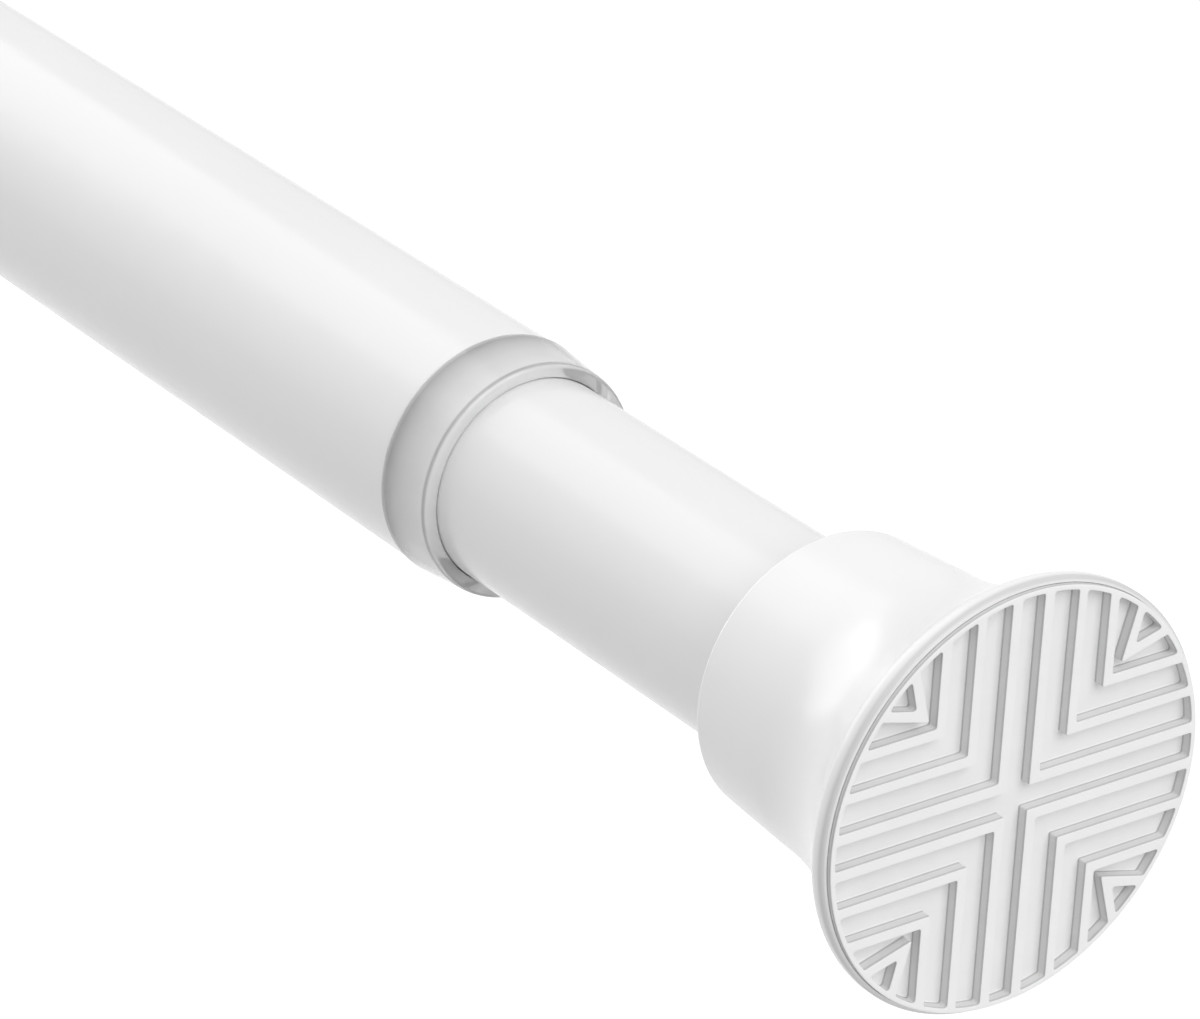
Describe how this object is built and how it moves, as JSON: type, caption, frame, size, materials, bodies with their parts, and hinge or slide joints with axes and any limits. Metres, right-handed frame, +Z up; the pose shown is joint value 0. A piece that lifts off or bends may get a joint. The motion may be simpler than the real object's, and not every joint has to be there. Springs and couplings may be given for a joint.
{
  "type": "spring tension rod",
  "caption": "Telescopic spring tension rod: a thin tube slides, turns and springs in a thicker one, with a clear collar and flared feet with ribbed non-slip treads.",
  "frame": {"origin": "centre of the outer foot's tread face, on the rod's axis", "axes": "+X along the rod from the outer foot to the inner foot, +Z up, square to the tread's cross"},
  "size_m": [0.4776, 0.042, 0.042],
  "materials": {
    "white_enamel": "gloss white powder coat on thin steel tube",
    "glossy_white_shell": "glossy white moulded plastic",
    "white_rubber": "matte white soft rubber",
    "clear_plastic": "clear moulded plastic",
    "natural_nylon": "uncoloured nylon",
    "black_nylon": "black nylon, slightly rough",
    "grey_acetal": "grey acetal",
    "zinc_plated_steel": "bright zinc plate",
    "spring_steel": "drawn spring wire"
  },
  "bodies": {
    "outer": {"outer_tube": "white_enamel", "outer_foot_shell": "glossy_white_shell", "outer_tread_pad": "white_rubber", "outer_tube_plug": "natural_nylon", "clear_collar": "clear_plastic"},
    "grip": {"expansion_sleeve": "black_nylon"},
    "cone": {"wedge_cone": "grey_acetal"},
    "spindle": {"lock_spindle": "zinc_plated_steel", "spindle_washer": "zinc_plated_steel", "spindle_nut": "zinc_plated_steel", "end_washer": "zinc_plated_steel", "end_screw": "zinc_plated_steel"},
    "inner": {"inner_tube": "white_enamel", "inner_foot_shell": "glossy_white_shell", "inner_tread_pad": "white_rubber", "inner_tube_plug": "natural_nylon", "guide_bush": "natural_nylon", "spring_stop": "natural_nylon", "compression_spring": "spring_steel"}
  },
  "joints": [
    {"name": "reach_slide", "type": "slide", "parent": "outer", "child": "grip", "axis": [1, 0, 0], "range_m": [-0.0205, 0.2324]},
    {"name": "twist_lock", "type": "hinge", "parent": "grip", "child": "spindle", "pos_m": [0.1, 0, 0], "axis": [-1, 0, 0], "range_deg": [0, 480]},
    {"name": "cone_draw", "type": "slide", "parent": "grip", "child": "cone", "axis": [-1, 0, 0], "range_m": [0, 0.004]},
    {"name": "spring_travel", "type": "slide", "parent": "spindle", "child": "inner", "axis": [1, 0, 0], "range_m": [-0.025, 0], "stiffness_N_per_m": 2000, "springref_m": 0.005, "deforming": ["compression_spring"]}
  ],
  "couplings": [
    {"joint": "cone_draw", "follows": "twist_lock", "m_per_rad": 0.00047746}
  ]
}
